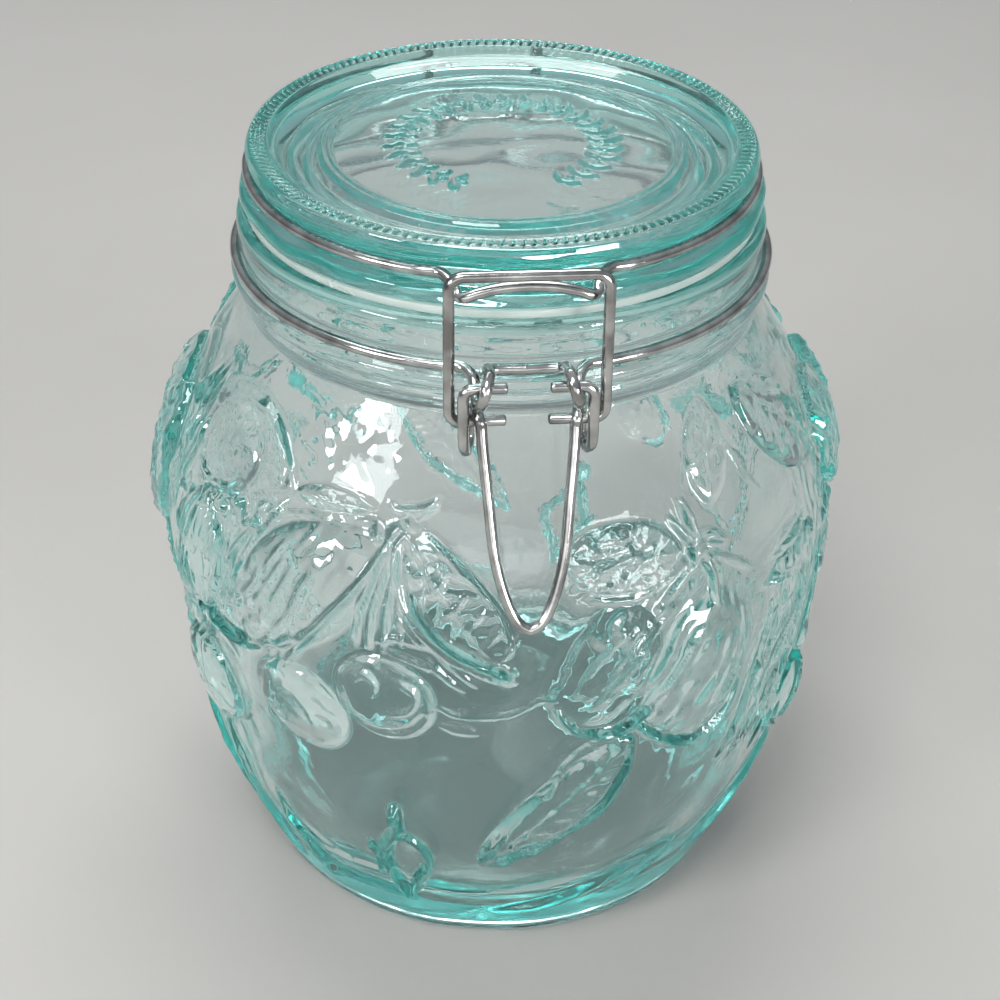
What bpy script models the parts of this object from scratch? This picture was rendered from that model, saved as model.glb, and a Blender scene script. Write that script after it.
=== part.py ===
"""A lidded glass canister with a wire bail hinge and a wire toggle latch.

Metres, +Z up. The origin is on the jar's axis at the foot, and the latch faces -Y.
Lengths below are in millimetres and become metres where a mesh or a curve is made.
Angles around the jar are in degrees from the latch, positive towards +X.
"""
import math

import bpy
from mathutils import Vector

MM = 0.001

# Driving dimensions
WIRE_RADIUS = 1.05
TURNED_STEPS = 48            # facets around every turned glass piece
PATH_STEP = 0.8              # spacing of the points worked out along a wire
BEND_STEP = 20.0             # degrees a wire may turn, and
LONGEST_STEP = 5.5           # the length it may run, between two points that are kept
LIP_TOP = 150.6              # top of the jar's mouth
MOUTH_RADIUS = 45.5          # bore of the jar's neck
WALL = 4.0                   # body wall, without the relief
FLOOR_TOP = 7.0
FOOT_INNER, FOOT_OUTER = 48.0, 53.2
GASKET_BOTTOM, GASKET_TOP = 150.9, 152.7
GASKET_INNER, GASKET_OUTER = 45.9, 50.5
FLANGE_BOTTOM = 153.0
PLATE_TOP = 162.1            # the lid's flat centre
LID_WIRE_RING, LID_WIRE_Z = 49.7, 158.9
NECK_WIRE_RING, NECK_WIRE_Z = 53.0, 142.2
EYE_RADIUS = 3.05            # centreline of the neck wire's four eyes
EYE_INSIDE_X, EYE_OUTSIDE_X = 7.0, 9.2
LEVER_PIVOT = (-59.2, 142.0)     # y and z of the lever's axis, in the front eyes
LID_PIVOT = (59.2, 142.0)        # y and z of the lid's axis, in the back eyes
LINK_PIVOT = (-57.3, 134.3)      # y and z of the link's axis, in the lever's hooks
LINK_BAR = (-55.8, 162.3)        # y and z of the link's top bar
LINK_HALF_WIDTH = 14.0
HOOK_RADIUS = 2.45           # the lever's hook around the link's stub
LEVER_TIP = (-72.4, 98.3)

# The body's outer outline as (height, radius), from the foot's notch to the shoulder
BODY_OUTLINE = ((6.0, 56.2), (12.0, 58.2), (22.0, 61.1), (34.0, 64.7), (48.0, 67.4), (62.0, 69.0),
                (76.0, 70.3), (90.0, 70.5), (104.0, 67.5), (116.0, 61.4), (126.0, 55.2), (132.0, 51.8))
RELIEF_ROW = 5.0             # spacing of the body's rows, fine enough for the mounds

# Mounds of the pressed fruit relief, on one half of the jar and repeated on the other:
# kind, angle, height up the jar, half length, half width, tilt of the length, thickness
RELIEF = (
    ("leaf", -86.0, 97.0, 18.0, 8.0, 84.0, 2.4),
    ("fruit", -60.0, 114.0, 9.5, 9.0, 0.0, 2.4),
    ("fruit", -63.0, 90.0, 13.5, 9.5, 80.0, 2.4),
    ("fruit", -64.0, 57.5, 11.0, 10.5, 0.0, 2.8),
    ("fruit", -38.0, 68.5, 11.0, 10.0, -20.0, 2.8),
    ("fruit", -22.3, 78.0, 10.2, 10.2, 0.0, 2.8),
    ("fruit", -38.0, 97.0, 21.0, 11.0, 43.0, 3.0),
    ("leaf", -11.0, 99.5, 18.0, 6.5, -53.0, 1.2),
    ("fruit", 12.0, 85.0, 15.0, 10.0, 62.0, 2.4),
    ("fruit", 29.0, 78.0, 19.0, 12.5, 84.0, 3.0),
    ("leaf", 15.8, 107.2, 11.8, 6.4, -4.0, 1.6),
    ("leaf", 58.0, 117.0, 15.0, 8.0, -52.0, 1.6),
    ("fruit", 80.0, 103.0, 13.0, 12.0, 60.0, 2.8),
    ("leaf", 84.0, 64.0, 17.0, 7.0, 76.0, 2.0),
    ("fruit", 62.0, 48.0, 9.5, 9.0, 0.0, 2.6),
    ("leaf", 5.4, 49.0, 23.0, 6.4, 51.5, 2.0),
)


# Points and paths

def smooth_path(points, spacing):
    """Points about `spacing` apart on a Catmull-Rom curve through the given points."""
    ends = [points[0] * 2 - points[1]] + list(points) + [points[-1] * 2 - points[-2]]
    path = []
    for before, start, stop, after in zip(ends, ends[1:], ends[2:], ends[3:]):
        pieces = max(1, round((stop - start).length / spacing))
        for i in range(pieces):
            t = i / pieces
            path.append(0.5 * (2 * start + (stop - before) * t
                               + (2 * before - 5 * start + 4 * stop - after) * t ** 2
                               + (3 * start - before - 3 * stop + after) * t ** 3))
    path.append(points[-1].copy())
    return path


def thin_out(path, turn_degrees, longest):
    """The path with points left out where it runs nearly straight."""
    kept = [path[0]]
    heading = (path[1] - path[0]).normalized()
    for point, following in zip(path[1:], path[2:]):
        onward = (following - point).normalized()
        turned = math.degrees(heading.angle(onward, 0.0))
        if turned >= turn_degrees or (point - kept[-1]).length >= longest:
            kept.append(point)
            heading = onward
    kept.append(path[-1])
    return kept


def around(radius, degrees, z):
    """The point at an angle from the latch, on a circle about the jar's axis."""
    a = math.radians(degrees)
    return Vector((radius * math.sin(a), -radius * math.cos(a), z))


def arc_yz(x_start, x_stop, centre, radius, start, stop, count):
    """An arc about an axis along X; 0 degrees points to +Y and 90 to +Z, and x drifts evenly."""
    points = []
    for i in range(count + 1):
        t = i / count
        a = math.radians(start + (stop - start) * t)
        points.append(Vector((x_start + (x_stop - x_start) * t,
                              centre[0] + radius * math.cos(a), centre[1] + radius * math.sin(a))))
    return points


def flipped(points, axis):
    """The points mirrored in the plane across one axis."""
    signs = [-1.0 if i == axis else 1.0 for i in range(3)]
    return [Vector([s * c for s, c in zip(signs, p)]) for p in points]


# Objects

def clear_scene():
    for obj in list(bpy.data.objects):
        bpy.data.objects.remove(obj, do_unlink=True)


def material(name, colour, roughness, metallic=0.0, transmission=0.0):
    mat = bpy.data.materials.new(name)
    mat.use_nodes = True
    shader = mat.node_tree.nodes["Principled BSDF"]
    shader.inputs["Base Color"].default_value = (*colour, 1.0)
    shader.inputs["Roughness"].default_value = roughness
    shader.inputs["Metallic"].default_value = metallic
    shader.inputs["Transmission Weight"].default_value = transmission
    return mat


def turned(name, outline, closed, mat, collection):
    """A solid of revolution from (radius, height) points that run down its outer side."""
    mesh = bpy.data.meshes.new(name)
    edges = [(i, i + 1) for i in range(len(outline) - 1)]
    if closed:
        edges.append((len(outline) - 1, 0))
    mesh.from_pydata([(r * MM, 0.0, z * MM) for r, z in outline], edges, [])
    obj = bpy.data.objects.new(name, mesh)
    collection.objects.link(obj)
    screw = obj.modifiers.new("turn", "SCREW")
    screw.axis = "Z"
    screw.angle = math.tau
    screw.steps = TURNED_STEPS
    screw.render_steps = TURNED_STEPS
    screw.use_merge_vertices = True
    screw.merge_threshold = 0.00001
    screw.use_smooth_shade = True
    mesh.materials.append(mat)
    return obj


def wire(name, path, closed, mat, collection, pivot=(0.0, 0.0, 0.0), parent=None):
    """A round wire along a path, with its origin on its joint's axis."""
    curve = bpy.data.curves.new(name, "CURVE")
    curve.dimensions = "3D"
    curve.bevel_depth = WIRE_RADIUS * MM
    curve.bevel_resolution = 2
    curve.use_fill_caps = not closed
    spline = curve.splines.new("POLY")
    spline.points.add(len(path) - 1)
    centre = Vector(pivot)
    for point, place in zip(spline.points, path):
        point.co = (*((place - centre) * MM), 1.0)
    spline.use_cyclic_u = closed
    curve.materials.append(mat)
    obj = bpy.data.objects.new(name, curve)
    obj.location = centre * MM
    collection.objects.link(obj)
    if parent:
        obj.parent = parent
        obj.location = obj.location - parent.location
    return obj


def pivot_empty(name, yz, collection):
    """An empty on a joint's axis, which carries the pieces that turn with it."""
    empty = bpy.data.objects.new(name, None)
    empty.location = (0.0, yz[0] * MM, yz[1] * MM)
    collection.objects.link(empty)
    return empty


def hang_on(obj, empty):
    """Parents a piece to an empty and leaves it where it is."""
    obj.parent = empty
    obj.location = obj.location - empty.location


# The glass pieces

def body_radius_path():
    """The body's outer outline from the shoulder down to the foot, as (radius, height)."""
    down = [Vector((r, z, 0.0)) for z, r in reversed(BODY_OUTLINE)]
    return [(p.x, p.y) for p in smooth_path(down, RELIEF_ROW)]


def jar_outline():
    """The jar from the middle of its floor, up the inside, over the lip and down the outside."""
    outside = body_radius_path()
    inside = [(r - WALL, z) for r, z in reversed(outside[2:-3:2])]
    floor = [(0.0, FLOOR_TOP), (38.0, FLOOR_TOP - 0.6), (47.5, FLOOR_TOP + 1.6), (53.0, 12.5)]
    neck_inside = [(46.1, 134.5), (MOUTH_RADIUS, 138.5), (MOUTH_RADIUS, 148.9), (46.4, 150.2)]
    lip = [(47.4, LIP_TOP), (51.0, LIP_TOP), (52.1, 149.9), (52.4, 148.6), (52.2, 147.0)]
    groove = [(52.2, 144.2), (51.5, 143.2), (51.5, 141.3), (52.6, 140.5)]
    rings = [(53.7, 140.1), (54.0, 138.8), (53.7, 137.4), (52.0, 136.5), (52.9, 135.2), (52.2, 133.7)]
    foot = [(54.6, 4.2), (54.5, 2.0), (FOOT_OUTER, 0.0), (FOOT_INNER, 0.0), (45.5, 1.4), (0.0, 2.2)]
    return floor + inside + neck_inside + lip + groove + rings + outside + foot


def mound(kind, across, along):
    """Height, 0 to 1, of a mound at a place given in half lengths and half widths."""
    if kind == "fruit":
        inside = 1.0 - across ** 2 - along ** 2
        return math.sqrt(inside) if inside > 0.0 else 0.0
    edge = 1.0 - along ** 2
    if edge <= 0.0 or abs(across) >= edge:
        return 0.0
    return 1.0 - (across / edge) ** 4


def relief_height(degrees, z, radius):
    """Thickness that the relief adds to the body at an angle and a height."""
    height = 0.0
    for kind, angle, middle, half_length, half_width, tilt, thickness in RELIEF:
        for turn in (0.0, 180.0):
            off = (degrees - angle - turn + 180.0) % 360.0 - 180.0
            u = math.radians(off) * radius
            v = z - middle
            a = math.radians(tilt)
            along = (u * math.cos(a) + v * math.sin(a)) / half_length
            across = (v * math.cos(a) - u * math.sin(a)) / half_width
            if abs(along) < 1.0 and abs(across) < 1.0:
                height = max(height, thickness * mound(kind, across, along))
    return height


def make_jar(mat, collection):
    """The jar body: a turned shell whose outer rows are pushed out by the relief."""
    plain = turned("jar_body_turned", jar_outline(), False, mat, collection)
    evaluated = plain.evaluated_get(bpy.context.evaluated_depsgraph_get())
    mesh = bpy.data.meshes.new_from_object(evaluated)
    mesh.name = "jar_body"
    rows = body_radius_path()
    for vertex in mesh.vertices:
        x, y, z = vertex.co / MM
        radius = math.hypot(x, y)
        if any(abs(z - row_z) < 0.01 and abs(radius - row_r) < 0.01 for row_r, row_z in rows):
            out = relief_height(math.degrees(math.atan2(x, -y)), z, radius) / radius
            vertex.co.x += x * out * MM
            vertex.co.y += y * out * MM
    bpy.data.objects.remove(plain, do_unlink=True)
    jar = bpy.data.objects.new("jar_body", mesh)
    collection.objects.link(jar)
    return jar


def make_lid(mat, collection):
    """The lid: flat centre, cove, raised rim, wire groove, flange and the plug below it."""
    top = [(0.0, PLATE_TOP), (34.2, PLATE_TOP), (35.2, 161.2), (37.5, 160.9), (41.0, 161.8),
           (44.0, 163.2), (45.6, 164.4)]
    rim = [(46.2, 164.7), (47.6, 164.7), (49.3, 163.8), (50.0, 162.4), (49.8, 161.2)]
    groove = [(48.6, 160.4), (48.2, 159.4), (48.2, 158.4), (48.9, 157.4)]
    flange = [(50.6, 156.8), (51.5, 156.1), (51.7, 154.8), (51.4, 153.5), (50.6, FLANGE_BOTTOM)]
    plug = [(45.3, FLANGE_BOTTOM), (44.5, 152.3), (44.5, 150.4), (43.9, 148.9), (42.9, 148.3),
            (41.0, 148.3), (39.7, 149.1), (38.6, 151.2), (38.2, 155.2), (36.5, 156.6), (0.0, 156.9)]
    return turned("lid", top + rim + groove + flange + plug, False, mat, collection)


def make_gasket(mat, collection):
    """The soft ring between the lid's flange and the jar's lip."""
    ease = 0.4
    outline = [(GASKET_INNER + ease, GASKET_TOP), (GASKET_OUTER - ease, GASKET_TOP),
               (GASKET_OUTER, GASKET_TOP - ease), (GASKET_OUTER, GASKET_BOTTOM + ease),
               (GASKET_OUTER - ease, GASKET_BOTTOM), (GASKET_INNER + ease, GASKET_BOTTOM),
               (GASKET_INNER, GASKET_BOTTOM + ease), (GASKET_INNER, GASKET_TOP - ease)]
    return turned("gasket", outline, True, mat, collection)


# The wires, each made as its +X half from front to back and mirrored

def eye_route():
    """The neck wire from its front middle, out and around one eye, and back to the groove."""
    loop = arc_yz(EYE_INSIDE_X, EYE_OUTSIDE_X, LEVER_PIVOT, EYE_RADIUS, 90.0, 270.0, 8)
    lead_in = [around(NECK_WIRE_RING, 0.0, NECK_WIRE_Z), around(NECK_WIRE_RING, 5.0, NECK_WIRE_Z),
               Vector((6.5, -53.4, 142.5)), Vector((EYE_INSIDE_X, -55.2, 143.7))]
    lead_out = [Vector((EYE_OUTSIDE_X + 0.1, -56.4, 139.9)), Vector((EYE_OUTSIDE_X + 0.4, -54.3, 141.6)),
                around(NECK_WIRE_RING, 12.5, NECK_WIRE_Z)]
    return lead_in + loop + lead_out


def neck_wire_path():
    """A closed ring in the jar's groove with two eyes in front and two behind."""
    front = eye_route()
    back = list(reversed(flipped(front, 1)))
    sides = [around(NECK_WIRE_RING, 12.5 + 5.0 * i, NECK_WIRE_Z) for i in range(1, 31)]
    right = smooth_path(front + sides + back, PATH_STEP)
    left = list(reversed(flipped(right, 0)))
    return thin_out(right, BEND_STEP, LONGEST_STEP) + thin_out(left, BEND_STEP, LONGEST_STEP)[1:-1]


def lid_wire_path():
    """The ring in the lid's groove: a catch in front, and two legs with pins behind."""
    catch = [Vector((0.0, -53.9, 159.3)), Vector((4.5, -53.9, 159.0)), Vector((8.5, -54.0, 158.2)),
             Vector((11.0, -53.9, 157.3)), Vector((12.2, -52.9, 157.2)), Vector((12.9, -50.9, 158.1))]
    ring = [around(LID_WIRE_RING, 17.5 + 5.0 * i, LID_WIRE_Z) for i in range(30)]
    y, z = LID_PIVOT
    leg = [Vector((12.5, 50.3, LID_WIRE_Z)), Vector((12.0, 53.4, 158.5)), Vector((12.0, 56.7, 156.8)),
           Vector((12.0, y - 0.5, 153.6)), Vector((12.0, y, 149.0)), Vector((12.0, y, z + 2.2))]
    pin = [Vector((11.5, y, z + 0.6)), Vector((9.9, y, z)), Vector((4.5, y, z))]
    right = thin_out(smooth_path(catch + ring + leg + pin, PATH_STEP), BEND_STEP, LONGEST_STEP)
    return list(reversed(flipped(right, 0))) + right[1:]


def link_path():
    """A rectangular loop: a bar in front of the catch, two legs, and stubs bent inward."""
    bar_y, bar_z = LINK_BAR
    stub_y, stub_z = LINK_PIVOT
    bend, tight, x = 2.6, 2.0, LINK_HALF_WIDTH
    lean = (bar_y - stub_y) / (bar_z - stub_z)
    corner = [Vector((x - bend * (1.0 - math.sin(a)), bar_y - lean * bend * (1.0 - math.cos(a)),
                      bar_z - bend * (1.0 - math.cos(a))))
              for a in (math.radians(d) for d in range(0, 91, 15))]
    foot = [Vector((x - tight * (1.0 - math.cos(a)), stub_y + lean * tight * (1.0 - math.sin(a)),
                    stub_z + tight * (1.0 - math.sin(a))))
            for a in (math.radians(d) for d in range(0, 91, 15))]
    stub_end = Vector((4.2, stub_y, stub_z))
    right = [Vector((0.0, bar_y, bar_z))] + corner + foot + [stub_end]
    return list(reversed(flipped(right, 0))) + right[1:]


def lever_path():
    """The lever: a pivot stub, a hook around the link's stub, and one leg of the V handle."""
    y, z = LEVER_PIVOT
    strand_x, back_x, leg_x = 11.6, 10.0, 8.4
    link_y, link_z = LINK_PIVOT
    stub = [Vector((4.2, y, z)), Vector((9.6, y, z)), Vector((11.0, y, z - 0.5)),
            Vector((strand_x, y - 0.1, z - 2.0))]
    strand = [Vector((strand_x, y - 0.5, z - 6.0)), Vector((strand_x, link_y - HOOK_RADIUS, link_z - 2.2))]
    bottom = arc_yz(strand_x - 0.1, back_x + 0.1, (link_y, link_z - 3.4), HOOK_RADIUS, 190.0, 350.0, 6)
    hook = arc_yz(back_x, leg_x, LINK_PIVOT, HOOK_RADIUS, 0.0, 180.0, 8)
    start = Vector((leg_x, link_y - HOOK_RADIUS, link_z))
    tip = Vector((0.0, *LEVER_TIP))
    handle = [start.lerp(tip, t) for t in (0.1, 0.34, 0.6, 0.77, 0.89, 0.965)]
    for point, half_width in zip(handle, (8.2, 7.4, 6.5, 5.2, 3.7, 2.1)):
        point.x = half_width
    right = smooth_path(stub + strand + bottom + hook + handle + [tip], PATH_STEP)
    thinned = thin_out(right, BEND_STEP, LONGEST_STEP)
    return thinned + list(reversed(flipped(thinned, 0)))[1:]


def build():
    clear_scene()
    collection = bpy.data.collections.new("lidded_glass_canister")
    bpy.context.scene.collection.children.link(collection)

    glass = material("aqua_glass", (0.72, 0.93, 0.89), 0.03, transmission=0.95)
    seal = material("clear_seal", (0.80, 0.84, 0.80), 0.35, transmission=0.4)
    steel = material("bright_steel", (0.62, 0.60, 0.58), 0.22, metallic=1.0)

    make_jar(glass, collection)
    lid_axis = pivot_empty("lid_axis", LID_PIVOT, collection)
    hang_on(make_lid(glass, collection), lid_axis)
    hang_on(make_gasket(seal, collection), lid_axis)
    lid_pin = (0.0, *LID_PIVOT)
    wire("lid_wire", lid_wire_path(), False, steel, collection, lid_pin, lid_axis)
    wire("neck_wire", neck_wire_path(), True, steel, collection)
    wire("latch_lever", lever_path(), False, steel, collection, (0.0, *LEVER_PIVOT))
    wire("latch_link", link_path(), False, steel, collection, (0.0, *LINK_PIVOT))


build()
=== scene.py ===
"""The looks of the lidded glass canister: pressed aqua glass, a clear seal and four bright wires.

Lengths here are in millimetres and become metres where a mesh is made. Angles around the jar are in
degrees from the latch, which faces -Y, and grow towards +X. Every piece stands for the CAD node of
the same name, follows that node's outline or wire route, and rides on its body.
"""
import math

import bpy
import numpy as np
from mathutils import Matrix, Vector


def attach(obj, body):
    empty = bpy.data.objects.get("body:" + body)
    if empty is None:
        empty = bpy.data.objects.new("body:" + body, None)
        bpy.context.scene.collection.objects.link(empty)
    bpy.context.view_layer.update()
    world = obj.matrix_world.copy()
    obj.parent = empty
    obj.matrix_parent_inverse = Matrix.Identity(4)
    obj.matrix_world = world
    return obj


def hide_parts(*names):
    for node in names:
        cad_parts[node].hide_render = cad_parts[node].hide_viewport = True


MM = 0.001
HALF_TURN = 180.0

# Driving dimensions, as in the CAD
WIRE_RADIUS = 1.05
WALL = 4.0
LEVER_PIVOT = (-59.2, 142.0)     # y and z of the lever's axis
LID_PIVOT = (59.2, 142.0)
LINK_PIVOT = (-57.3, 134.3)
LINK_BAR = (-55.8, 162.3)
LINK_HALF_WIDTH = 14.0
HOOK_RADIUS = 2.45
LEVER_TIP = (-72.4, 98.3)
EYE_RADIUS = 3.05
EYE_INSIDE_X, EYE_OUTSIDE_X = 7.0, 9.2
LID_WIRE_RING, LID_WIRE_Z = 49.7, 158.9
NECK_WIRE_RING, NECK_WIRE_Z = 53.0, 142.2
BODY_OUTLINE = ((6.0, 56.2), (12.0, 58.2), (22.0, 61.1), (34.0, 64.7), (48.0, 67.4), (62.0, 69.0),
                (76.0, 70.3), (90.0, 70.5), (104.0, 67.5), (116.0, 61.4), (126.0, 55.2), (132.0, 51.8))

# Fineness of the meshes
PLAIN_COUNT = 240                # points around a plain ring of glass
RELIEF_COUNT = 960               # points around the relief
RELIEF_ROW = 0.6                 # spacing of the relief's rows
STEEP, STEEP_FADE = 1.15, 0.8    # the slope from which teal is painted on a flank of the relief, standing in for light running far in the glass
PLATE_COUNT = 480                # points around the lid's wreath
TEETH = 160                      # milled teeth around the lid's rim
TOOTH_POINTS = 9
TUBE_SIDES = 20
TUBE_STEP = 0.35

# The lid's wreath and milled rim
WREATH_RADIUS, WREATH_INNER, WREATH_OUTER = 20.0, 15.5, 24.5
WREATH_LEAVES, WREATH_GAP = 26, 24.0
MILLED_INNER, MILLED_OUTER = 46.3, 48.7
TOOTH_DEPTH, TOOTH_SLANT = 0.9, 0.006
NOTCH_FLATNESS, NOTCH_NARROWING, NOTCH_FADE = 2.0, 0.2, 0.3

# How strongly painted light colours parts of the glass: teal standing in for light that runs far inside
# it, and near black painted shade in the lid's notches; 0 is clear, and the values named here are stops
PAINTED_TEAL_STOP, PAINTED_SHADE_STOP = 0.5, 0.65
PAINTED_LIP_TEAL, PAINTED_FOOT_TEAL, PAINTED_FLANK_TEAL, PAINTED_THICK_TEAL = 0.26, 0.15, 0.22, PAINTED_TEAL_STOP
PAINTED_WREATH_TEAL, PAINTED_RIM_TEAL, PAINTED_FLANGE_TEAL, PAINTED_NOTCH_SHADE = 0.35, 0.09, 0.38, 1.0

# Camera: distance from the axis, height, pitch below the horizon and turn about the axis
CAMERA_DISTANCE, CAMERA_HEIGHT, CAMERA_SIDE = 351.6, 317.6, 0.7
CAMERA_PITCH, CAMERA_TURN, CAMERA_ROLL = 34.29, -5.3, 1.03
CAMERA_LENS = 69.87

# Between which values most of a noise node's output lies
NOISE_RANGE = (0.3, 0.7)

# The sky's colours near the horizon and overhead, each after the height where it starts
SKY_LOW, SKY_HIGH = (0.05, 0.20, 0.21, 0.22), (0.75, 0.46, 0.49, 0.51)


# Points and paths

def wrapped(degrees):
    """The same angles, brought between -180 and 180."""
    return (degrees + HALF_TURN) % 360.0 - HALF_TURN


def smooth_path(points, spacing):
    """Points about `spacing` apart on a Catmull-Rom curve through the given points."""
    ends = [points[0] * 2 - points[1]] + list(points) + [points[-1] * 2 - points[-2]]
    path = []
    for before, start, stop, after in zip(ends, ends[1:], ends[2:], ends[3:]):
        pieces = max(1, round((stop - start).length / spacing))
        for i in range(pieces):
            t = i / pieces
            path.append(0.5 * (2 * start + (stop - before) * t
                               + (2 * before - 5 * start + 4 * stop - after) * t ** 2
                               + (3 * start - before - 3 * stop + after) * t ** 3))
    path.append(points[-1].copy())
    return path


def around(radius, degrees, z):
    """The point at an angle from the latch, on a circle about the jar's axis."""
    a = math.radians(degrees)
    return Vector((radius * math.sin(a), -radius * math.cos(a), z))


def vectors(*places):
    """The places as vectors."""
    return [Vector(place) for place in places]


def arc_yz(x_start, x_stop, centre, radius, start, stop, count):
    """An arc about an axis along X; 0 degrees points to +Y and 90 to +Z, and x drifts evenly."""
    points = []
    for i in range(count + 1):
        t = i / count
        a = math.radians(start + (stop - start) * t)
        points.append(Vector((x_start + (x_stop - x_start) * t,
                              centre[0] + radius * math.cos(a), centre[1] + radius * math.sin(a))))
    return points


def flipped(points, axis):
    """The points mirrored in the plane across one axis."""
    signs = [-1.0 if i == axis else 1.0 for i in range(3)]
    return [Vector([s * c for s, c in zip(signs, p)]) for p in points]


def eased(points, reach, steps=4):
    """An outline whose corners are rounded, each over at most `reach` of the lines beside it."""
    outline = [np.array(points[0], float)]
    for before, corner, after in zip(points, points[1:], points[2:]):
        before, corner, after = (np.array(p, float) for p in (before, corner, after))
        back, on = before - corner, after - corner
        start = corner + back * min(0.5, reach / max(np.linalg.norm(back), 1e-9))
        stop = corner + on * min(0.5, reach / max(np.linalg.norm(on), 1e-9))
        for i in range(steps + 1):
            t = i / steps
            outline.append(start * (1 - t) ** 2 + 2 * corner * t * (1 - t) + stop * t ** 2)
    outline.append(np.array(points[-1], float))
    return outline


def evened(outline, spacing):
    """The outline with long lines divided, and with points left out that nearly coincide."""
    kept = [outline[0]]
    for point in outline[1:]:
        run = np.linalg.norm(point - kept[-1])
        if run < 0.25 * spacing:
            continue
        pieces = max(1, math.ceil(run / spacing))
        start = kept[-1]
        kept.extend(start + (point - start) * (i + 1) / pieces for i in range(pieces))
    return kept


# Meshes made of rings about the jar's axis

def ring(count, radius, height):
    """Points around the axis from the latch towards +X; radius and height may vary around it."""
    a = np.arange(count) * (2 * np.pi / count)
    return np.stack([radius * np.sin(a), -radius * np.cos(a), np.broadcast_to(height, count)], axis=1)


def bridge(upper, upper_count, lower, lower_count):
    """Faces between two rings, of equal counts or with one count a multiple of the other."""
    if upper_count < lower_count:
        return fan(upper, upper_count, lower, lower_count)
    if upper_count > lower_count:
        return [face[::-1] for face in fan(lower, lower_count, upper, upper_count)]
    i = np.arange(upper_count)
    j = (i + 1) % upper_count
    return np.stack([upper + i, lower + i, lower + j, upper + j], axis=1).tolist()


def fan(coarse, coarse_count, fine, fine_count):
    """Triangles from a coarse ring, or from one point, down to a finer ring."""
    share = fine_count // coarse_count
    faces = []
    for i in range(coarse_count):
        first = i * share
        for step in range(share):
            faces.append((coarse + i, fine + first + step, fine + (first + step + 1) % fine_count))
        if coarse_count > 1:
            faces.append((coarse + i, fine + (first + share) % fine_count,
                          coarse + (i + 1) % coarse_count))
    return faces


def mesh_of_rings(name, rings, closed=False, painted_light_tints=None):
    """A smooth-shaded mesh through the rings, which run down its outer side.

    A point attribute says how strongly painted light colours the glass at each point, from 0 to 1: teal
    standing in for light that runs far inside the glass, up to near black painted shade.
    """
    starts = np.cumsum([0] + [len(r) for r in rings])
    pairs = list(zip(range(len(rings)), range(1, len(rings))))
    if closed:
        pairs.append((len(rings) - 1, 0))
    faces = []
    for a, b in pairs:
        faces.extend(bridge(int(starts[a]), len(rings[a]), int(starts[b]), len(rings[b])))
    mesh = bpy.data.meshes.new(name)
    mesh.from_pydata((np.concatenate(rings) * MM).tolist(), [], faces)
    mesh.shade_smooth()
    if painted_light_tints is not None:
        values = [np.broadcast_to(painted_light_tint, len(r)) for painted_light_tint, r in zip(painted_light_tints, rings)]
        attribute = mesh.attributes.new("painted_light_tint", "FLOAT", "POINT")
        attribute.data.foreach_set("value", np.concatenate(values).astype(np.float32))
    return mesh


def waves(points, wavelength, count, seed):
    """A smooth random field of about unit size at the points, from a few plane waves."""
    random = np.random.default_rng(seed)
    field = np.zeros(len(points))
    for _ in range(count):
        direction = random.normal(size=3)
        direction /= np.linalg.norm(direction)
        length = wavelength * random.uniform(0.7, 1.5)
        field += np.sin(points @ direction * (2 * np.pi / length) + random.uniform(0, 2 * np.pi))
    return field * math.sqrt(2.0 / count)


def turned_rings(outline, count, uneven=0.0, wavelength=14.0, seed=0, lift=0.0):
    """Rings along an outline, slightly uneven in radius and in height, as pressed glass is."""
    rings = []
    for radius, height in outline:
        points = ring(count, radius, height)
        swell = 1.0 + uneven * waves(points, wavelength, 9, seed) / max(radius, 20.0)
        points[:, 2] += lift * waves(points, wavelength, 9, seed + 1)
        points[:, :2] *= swell[:, None]
        rings.append(points)
    return rings


# The fruit relief, worked out on a grid of angles and rows

class Relief:
    """Heights of the pressed relief over the body's outer side."""

    def __init__(self, rows):
        """rows are (radius, height) from the shoulder down to the foot."""
        self.rows = np.array(rows)
        self.radius = self.rows[:, 0][:, None]
        steps = np.linalg.norm(np.diff(self.rows, axis=0), axis=1)
        self.down = np.concatenate([[0.0], np.cumsum(steps)])
        self.degrees = np.arange(RELIEF_COUNT) * (360.0 / RELIEF_COUNT)
        self.height = np.zeros((len(rows), RELIEF_COUNT))
        # Painted light on the relief: teal standing in for light that runs far inside its thick beads
        self.painted_light_tint = np.zeros_like(self.height)
        self.turn = 0.0          # added to each motif's angle, to repeat the pattern

    def down_at(self, z):
        """Distance down the outline from the shoulder to a height."""
        return np.interp(-np.asarray(z, float), -self.rows[:, 1], self.down)

    def radius_at(self, z):
        """Radius of the plain outline at a height."""
        return np.interp(-np.asarray(z, float), -self.rows[:, 1], self.rows[:, 0])

    def flat(self, angle, z):
        """Distances in mm to the right of and above a place on the body, for the whole grid."""
        off = wrapped(self.degrees - angle - self.turn)
        right = np.radians(off)[None, :] * self.radius
        up = (self.down_at(z) - self.down)[:, None] + np.zeros_like(right)
        return right, up

    def turned(self, angle, z, tilt):
        """The same distances along and across a length that leans up by `tilt` degrees."""
        right, up = self.flat(angle, z)
        a = math.radians(tilt)
        return right * math.cos(a) + up * math.sin(a), up * math.cos(a) - right * math.sin(a)

    def lay(self, cover, height):
        """Puts a form over what is there; cover is 1 inside it and 0 outside."""
        self.height = self.height * (1.0 - cover) + height * cover


def step_in(distance, width):
    """Rises smoothly from 0 to 1 as a distance inside an edge grows over a width."""
    t = np.clip(distance / width + 0.5, 0.0, 1.0)
    return t * t * (3.0 - 2.0 * t)


def oval(along, across, half_length, half_width):
    """Distance from an oval's middle, which is 1 on its edge."""
    return np.sqrt((along / half_length) ** 2 + (across / half_width) ** 2)


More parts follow.
